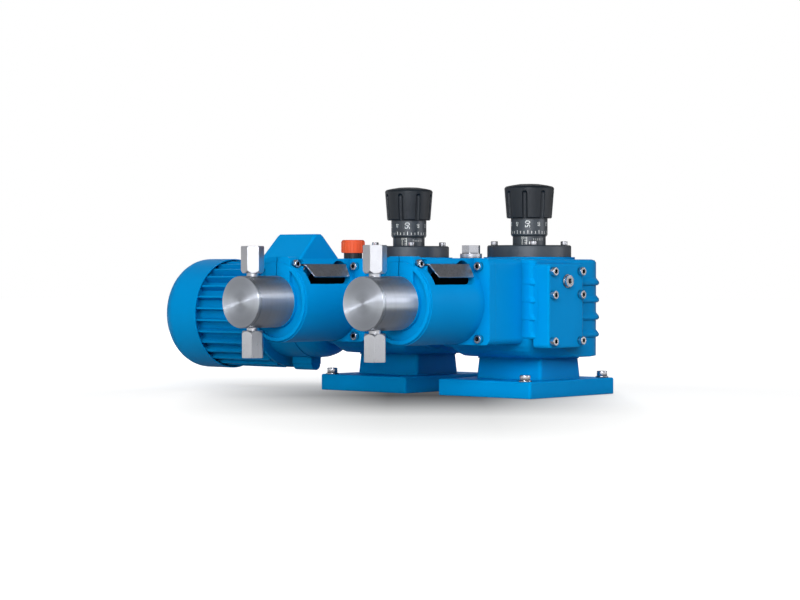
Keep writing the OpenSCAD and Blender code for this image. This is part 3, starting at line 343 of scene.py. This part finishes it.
def set_relief(nodes, links, shader, grain, depth, strength, edge):
    """Fine relief from the grain, over edges that are rounded off by a small radius."""
    worn = nodes.new("ShaderNodeBevel")
    worn.samples = 4
    worn.inputs["Radius"].default_value = edge
    relief = nodes.new("ShaderNodeBump")
    relief.inputs["Distance"].default_value = depth
    relief.inputs["Strength"].default_value = strength
    links.new(grain, relief.inputs["Height"])
    links.new(worn.outputs["Normal"], relief.inputs["Normal"])
    links.new(relief.outputs["Normal"], shader.inputs["Normal"])


def painted_corner_shade(nodes, links, tone):
    """The tone, with painted shade that darkens it in the inner corners of a casting."""
    corner = nodes.new("ShaderNodeAmbientOcclusion")
    corner.samples = 6
    corner.inputs["Distance"].default_value = CORNER_REACH
    amount = blend_range(nodes, links, corner.outputs["AO"], 0.30, 0.92, CORNER_TONE, 1.0)
    shaded = nodes.new("ShaderNodeVectorMath")
    shaded.operation = "SCALE"
    links.new(tone, shaded.inputs[0])
    links.new(amount, shaded.inputs["Scale"])
    return shaded.outputs["Vector"]


def blue_mottle(nodes, links, place):
    return ramp(nodes, links, noise(nodes, links, place, 9.0, 4.0), BLUE_DEEP, BLUE_PALE)


def spray_enamel(nodes, links, shader, place, tone, edge, grain_scale, grain_depth):
    """Satin enamel in a tone, with the fine orange peel of a sprayed coat."""
    # Painted shade: the base colour is darkened in inner corners
    links.new(painted_corner_shade(nodes, links, tone), shader.inputs["Base Color"])
    peel = noise(nodes, links, place, grain_scale, 2.0)
    set_roughness(nodes, links, shader, peel, 0.38, 0.50)
    shader.inputs["Specular IOR Level"].default_value = 0.10
    shader.inputs["Specular Tint"].default_value = (0.0, 0.85, 0.90, 1.0)
    set_relief(nodes, links, shader, peel, grain_depth, 0.6, edge)


def blue_enamel(name, edge, grain_scale, grain_depth):
    finish, nodes, links, shader, place = new_finish(name)
    tone = blue_mottle(nodes, links, place)
    spray_enamel(nodes, links, shader, place, tone, edge, grain_scale, grain_depth)
    return finish


def from_plunger_axis(nodes, links, place):
    """The arm from the nearer unit's plunger axis, across X and Z, and its length in metres."""
    spot = split_xyz(nodes, links, place)
    left = math_node(nodes, links, "LESS_THAN", spot["X"], -UNIT_PITCH / 2)
    joined = nodes.new("ShaderNodeCombineXYZ")
    links.new(math_node(nodes, links, "MULTIPLY_ADD", left, UNIT_PITCH, spot["X"]), joined.inputs["X"])
    links.new(math_node(nodes, links, "SUBTRACT", spot["Z"], PLUNGER_Z), joined.inputs["Z"])
    length = nodes.new("ShaderNodeVectorMath")
    length.operation = "LENGTH"
    links.new(joined.outputs[0], length.inputs[0])
    return joined.outputs[0], length.outputs["Value"]


def lantern_enamel():
    """The same enamel, with painted shade: near-black on the inside of the barrel, seen through its window.
    """
    finish, nodes, links, shader, place = new_finish("lantern_enamel")
    arm, radius = from_plunger_axis(nodes, links, place)
    # Painted shade: inside the barrel bore the colour is near-black
    inside = math_node(nodes, links, "LESS_THAN", radius, BARREL_BORE_R)
    behind = math_node(nodes, links, "GREATER_THAN", split_xyz(nodes, links, place)["Y"], BARREL_FRONT_Y)
    painted_bore_shade = math_node(nodes, links, "MULTIPLY", inside, behind)
    tone = two_tone(nodes, links, painted_bore_shade, blue_mottle(nodes, links, place), (0.004, 0.006, 0.009))
    spray_enamel(nodes, links, shader, place, tone, 0.0012, 900.0, 0.00006)
    return finish


def turned_steel():
    """Lathe-turned stainless: grooves run round the plunger axis, so highlights stretch across them."""
    finish, nodes, links, shader, place = new_finish("turned_stainless")
    arm, radius = from_plunger_axis(nodes, links, place)
    along = nodes.new("ShaderNodeCombineXYZ")
    links.new(radius, along.inputs["X"])
    links.new(split_xyz(nodes, links, place)["Y"], along.inputs["Y"])
    grooves = noise(nodes, links, along.outputs[0], 1500.0, 2.0)
    passes = noise(nodes, links, along.outputs[0], 160.0, 2.0)
    steel = (0.55, 0.585, 0.63)
    tone = ramp(nodes, links, passes, tuple(c * 0.93 for c in steel), steel)
    links.new(tone, shader.inputs["Base Color"])
    shader.inputs["Metallic"].default_value = 1.0
    shader.inputs["Anisotropic"].default_value = 0.95
    shader.inputs["Anisotropic Rotation"].default_value = 0.25
    set_roughness(nodes, links, shader, grooves, 0.38, 0.47)
    round_axis = nodes.new("ShaderNodeVectorMath")
    round_axis.operation = "CROSS_PRODUCT"
    links.new(arm, round_axis.inputs[0])
    round_axis.inputs[1].default_value = (0.0, 1.0, 0.0)
    links.new(round_axis.outputs[0], shader.inputs["Tangent"])
    set_relief(nodes, links, shader, grooves, 0.00002, 0.5, 0.0004)
    return finish


def milled_steel():
    """Stainless with a fine satin from milling and brushing."""
    finish, nodes, links, shader, place = new_finish("milled_stainless")
    stretch = nodes.new("ShaderNodeMapping")
    stretch.inputs["Scale"].default_value = (1.0, 1.0, 0.06)
    links.new(place, stretch.inputs["Vector"])
    lines = noise(nodes, links, stretch.outputs[0], 2200.0, 2.0)
    steel = (0.60, 0.61, 0.63)
    tone = ramp(nodes, links, noise(nodes, links, place, 60.0), tuple(c * 0.95 for c in steel), steel)
    links.new(tone, shader.inputs["Base Color"])
    shader.inputs["Metallic"].default_value = 1.0
    set_roughness(nodes, links, shader, lines, 0.26, 0.36)
    set_relief(nodes, links, shader, lines, 0.00001, 0.4, 0.0005)
    return finish


def plain_metal(name, base, rough):
    """Bare metal with a faint mottle and a fine grain."""
    finish, nodes, links, shader, place = new_finish(name)
    tone = ramp(nodes, links, noise(nodes, links, place, 120.0), tuple(c * 0.88 for c in base), base)
    links.new(tone, shader.inputs["Base Color"])
    shader.inputs["Metallic"].default_value = 1.0
    grain = noise(nodes, links, place, 1400.0, 2.0)
    set_roughness(nodes, links, shader, grain, rough - 0.05, rough + 0.07)
    set_relief(nodes, links, shader, grain, 0.00002, 0.4, 0.0004)
    return finish


def plated_screws():
    """Bright zinc plate on the screw heads, with painted shade: near-black in the sockets and under the
    heads.
    """
    finish, nodes, links, shader, place = new_finish("zinc_plated_steel")
    # Painted shade: the base colour goes near-black where sockets and seats hold shade
    socket_shade = nodes.new("ShaderNodeAmbientOcclusion")
    socket_shade.samples = 8
    socket_shade.inputs["Distance"].default_value = 0.0045
    tone = ramp(nodes, links, socket_shade.outputs["AO"], (0.010, 0.010, 0.012), (0.64, 0.65, 0.67), 0.42, 0.80)
    links.new(tone, shader.inputs["Base Color"])
    shader.inputs["Metallic"].default_value = 1.0
    grain = noise(nodes, links, place, 1400.0, 2.0)
    set_roughness(nodes, links, shader, grain, 0.16, 0.26)
    set_relief(nodes, links, shader, grain, 0.00002, 0.3, 0.0007)
    return finish


def moulded(name, low, high, rough, level=0.4):
    """Moulded plastic or stoved enamel with a very fine grain."""
    finish, nodes, links, shader, place = new_finish(name)
    tone = ramp(nodes, links, noise(nodes, links, place, 40.0), low, high)
    links.new(tone, shader.inputs["Base Color"])
    grain = noise(nodes, links, place, 1600.0, 2.0)
    set_roughness(nodes, links, shader, grain, rough - 0.05, rough + 0.07)
    shader.inputs["Specular IOR Level"].default_value = level
    set_relief(nodes, links, shader, grain, 0.00003, 0.5, 0.0006)
    return finish


def cap_on_neck():
    """Orange cap with a sheen, and the black threaded neck that it screws on to."""
    finish, nodes, links, shader, place = new_finish("orange_plastic")
    orange = ramp(nodes, links, noise(nodes, links, place, 40.0), (0.72, 0.062, 0.006), (0.78, 0.080, 0.010))
    above = math_node(nodes, links, "GREATER_THAN", split_xyz(nodes, links, place)["Z"], VENT_NECK_TOP)
    links.new(two_tone(nodes, links, above, (0.006, 0.008, 0.010), orange), shader.inputs["Base Color"])
    grain = noise(nodes, links, place, 1600.0, 2.0)
    set_roughness(nodes, links, shader, grain, 0.16, 0.24)
    shader.inputs["Specular IOR Level"].default_value = 0.6
    set_relief(nodes, links, shader, grain, 0.00003, 0.5, 0.0006)
    return finish


def dress_nodes():
    """Gives every CAD node its finish, and returns the finishes by material slot."""
    smooth_blue = blue_enamel("smooth_blue_enamel", 0.0008, 1100.0, 0.00005)
    barrel_blue = lantern_enamel()
    turned = turned_steel()
    by_slot = {
        "blue_paint": blue_enamel("cast_blue_enamel", 0.0012, 700.0, 0.00010),
        "black_enamel": moulded("stoved_black", (0.016, 0.024, 0.033), (0.021, 0.031, 0.042), 0.36, 0.8),
        "black_grip": moulded("black_grip_plastic", (0.004, 0.007, 0.011), (0.007, 0.011, 0.016), 0.36),
        "stainless": milled_steel(),
        "ground_steel": plain_metal("ground_steel", (0.50, 0.51, 0.53), 0.32),
        "zinc_plate": plated_screws(),
        "bronze": plain_metal("machined_bronze", (0.62, 0.42, 0.20), 0.30),
        "orange_cap": cap_on_neck(),
        "white_packing": moulded("white_packing_fibre", (0.80, 0.80, 0.76), (0.86, 0.86, 0.82), 0.60),
    }
    own = {
        "right_lantern": barrel_blue, "left_lantern": barrel_blue, "motor_frame": smooth_blue,
        "fan_cowl": smooth_blue, "terminal_lid": smooth_blue, "terminal_box": smooth_blue,
        "right_pump_head": turned, "left_pump_head": turned, "head_caps": turned,
        "window_guards": plain_metal("sheet_stainless", (0.60, 0.61, 0.63), 0.30),
    }
    slots = {entry["node"]: entry["material_slot"] for entry in frame["record"]["subparts"]}
    for name, node in frame["nodes"].items():
        node.data.materials.clear()
        node.data.materials.append(own.get(name, by_slot[slots[name]]))
    return by_slot


# New pieces

def finish_piece(piece, finish, body):
    piece.data.materials.clear()
    piece.data.materials.append(finish)
    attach(piece, body)


def copy_mesh(piece, name, offset):
    """A copy of a finished piece with its own mesh, moved by an offset in its mesh."""
    twin = piece.copy()
    twin.data = piece.data.copy()
    twin.name = name
    twin.data.transform(Matrix.Translation(offset))
    bpy.context.scene.collection.objects.link(twin)
    return twin


def join_pieces(pieces, name):
    deselect_all()
    for piece in pieces:
        piece.select_set(True)
    bpy.context.view_layer.objects.active = pieces[0]
    bpy.ops.object.join()
    joined = bpy.context.object
    joined.name = name
    deselect_all()
    return joined


def cut_with(piece, cutter):
    """Takes the cutter's shape out of the piece and removes the cutter."""
    deselect_all()
    bpy.context.view_layer.objects.active = piece
    piece.select_set(True)
    cut = piece.modifiers.new("cut", "BOOLEAN")
    cut.operation = "DIFFERENCE"
    cut.solver = "EXACT"
    cut.object = cutter
    bpy.ops.object.modifier_apply(modifier=cut.name)
    bpy.data.objects.remove(cutter, do_unlink=True)


def round_edges(piece, width, segments):
    deselect_all()
    bpy.context.view_layer.objects.active = piece
    piece.select_set(True)
    edge = piece.modifiers.new("edge", "BEVEL")
    edge.width = width
    edge.segments = segments
    edge.limit_method = "ANGLE"
    edge.angle_limit = math.radians(40.0)
    bpy.ops.object.modifier_apply(modifier=edge.name)
    bpy.ops.object.shade_smooth_by_angle(angle=math.radians(35.0))
    deselect_all()


def round_blank(name, bottom, radius, height):
    """Upright round blank that stands on a height above the origin."""
    deselect_all()
    bpy.ops.mesh.primitive_cylinder_add(
        vertices=40, radius=radius, depth=height, location=(0.0, 0.0, bottom + height / 2)
    )
    blank = bpy.context.object
    blank.name = name
    bpy.ops.object.transform_apply(location=True, rotation=True, scale=True)
    return blank


# Foot screws

def socket_screw(name, bottom, head_r, head_h, socket_af, socket_depth):
    """Socket head screw with a rounded head and a hexagon socket."""
    screw = round_blank(name, bottom, head_r, head_h)
    bpy.ops.mesh.primitive_cylinder_add(
        vertices=6, radius=socket_af / 2 / math.cos(math.radians(30)), depth=socket_depth * 2,
        location=(0.0, 0.0, bottom + head_h), rotation=(0.0, 0.0, math.radians(17)),
    )
    cut_with(screw, bpy.context.object)
    round_edges(screw, 0.0006, 3)
    return screw


def plain_washer(name, bottom, radius, thickness):
    washer = round_blank(name, bottom, radius, thickness)
    round_edges(washer, 0.0003, 2)
    return washer


def set_foot_screws(zinc):
    """M8 screws with washers in the outer corners of the two feet, the ones that a spanner reaches."""
    washer_t = 0.0015
    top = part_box("right_foot")[0].z + FOOT_PLATE_T
    first = join_pieces([
        plain_washer("foot_washer", top, 0.0080, washer_t),
        socket_screw("foot_screw", top + washer_t, 0.0065, 0.0065, 0.0060, 0.0036),
    ], "foot_screw_pattern")
    for side, x in UNIT_X.items():
        outer = FOOT_BOLT_X if side == "right" else -FOOT_BOLT_X
        twins = [copy_mesh(first, f"{side}_foot_screw_{i}", Vector((x + outer, y, 0.0)))
                 for i, y in enumerate((-FOOT_BOLT_Y, FOOT_BOLT_Y))]
        group = join_pieces(twins, f"{side}_foot_screws")
        finish_piece(group, zinc, "pump_frame")
    bpy.data.objects.remove(first, do_unlink=True)


# Scales on the stroke adjusters

def round_adjuster(axis_x, radius, angle, z):
    """The point at an angle and a height on an upright cylinder about the adjuster's axis."""
    return Vector((axis_x + radius * math.cos(angle), ADJUSTER_Y + radius * math.sin(angle), z))


def wrapped_text(words, height, radius, angle, z, axis_x, upright=True):
    """Flat figures bent round the adjuster, reading across it or up it."""
    deselect_all()
    bpy.ops.object.text_add(location=(0.0, 0.0, 0.0))
    figure = bpy.context.object
    figure.data.body = words
    figure.data.size = height * 1.38
    figure.data.align_x = "CENTER"
    figure.data.align_y = "CENTER"
    figure.data.extrude = 0.00006
    figure.data.resolution_u = 4
    bpy.ops.object.convert(target="MESH")
    figure = bpy.context.object
    for point in figure.data.vertices:
        across, up = (point.co.x, point.co.y) if upright else (-point.co.y, point.co.x)
        out = radius + 0.00008 + point.co.z
        point.co = round_adjuster(axis_x, out, math.radians(angle) + across / radius, z + up)
    return figure


def scale_stroke(width, height, radius, angle, z, axis_x):
    """Short painted stroke bent round the adjuster."""
    deselect_all()
    bpy.ops.mesh.primitive_grid_add(x_subdivisions=4, y_subdivisions=1, size=1.0)
    stroke = bpy.context.object
    for point in stroke.data.vertices:
        turn = math.radians(angle) + point.co.x * width / radius
        point.co = round_adjuster(axis_x, radius + 0.00012, turn, z + point.co.y * height)
    return stroke


def print_thimble(side, axis_x, front, white):
    """Figures that read up the turning thimble, and a ring of strokes at its lower edge."""
    prints = []
    for i in range(10):
        angle = front + (i - 5) * 36.0
        height = 0.0066 if i == 5 else 0.0040
        prints.append(wrapped_text(f"{i * 10:02d}", height, THIMBLE_R, angle, 0.2085, axis_x, upright=False))
    for i in range(30):
        height, z = (0.0042, 0.1990) if i % 3 == 0 else (0.0032, 0.1985)
        prints.append(scale_stroke(0.0007, height, THIMBLE_R, front + i * 12.0, z, axis_x))
    group = join_pieces(prints, f"{side}_thimble_scale")
    finish_piece(group, white, f"{side}_adjuster")


def print_sleeve(side, axis_x, front, white):
    """Millimetre scale with figures on the fixed sleeve."""
    prints = [scale_stroke(0.0005, 0.0095, SLEEVE_R, front - 4.0, 0.1884, axis_x)]
    for i in range(5):
        prints.append(scale_stroke(0.0030, 0.00045, SLEEVE_R, front - 8.0, 0.1844 + i * 0.0020, axis_x))
    for i, words in enumerate(("0", "5", "10")):
        prints.append(wrapped_text(words, 0.0030, SLEEVE_R, front - 20.0, 0.1850 + i * 0.0034, axis_x))
    prints.append(scale_stroke(0.0044, 0.0034, SLEEVE_R, front + 10.0, 0.1856, axis_x))
    for i in range(6):
        prints.append(scale_stroke(0.0004, 0.0028, SLEEVE_R, front + 20.0 + i * 7.2, 0.1900, axis_x))
    group = join_pieces(prints, f"{side}_sleeve_scale")
    finish_piece(group, white, "pump_frame")


def print_scales():
    white = moulded("white_print", (0.78, 0.80, 0.80), (0.86, 0.87, 0.87), 0.5)
    for side, front in (("right", -56.0), ("left", -53.0)):
        print_thimble(side, UNIT_X[side], front, white)
        print_sleeve(side, UNIT_X[side], front, white)


# Motion

def shorten_springs():
    """Gives each return spring its own mesh."""
    for side in UNIT_X:
        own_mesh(frame["nodes"][f"{side}_return_spring"])


set_camera()
build_studio()
finishes = dress_nodes()
set_foot_screws(finishes["zinc_plate"])
print_scales()
shorten_springs()

bpy.context.scene.view_settings.view_transform = "Standard"
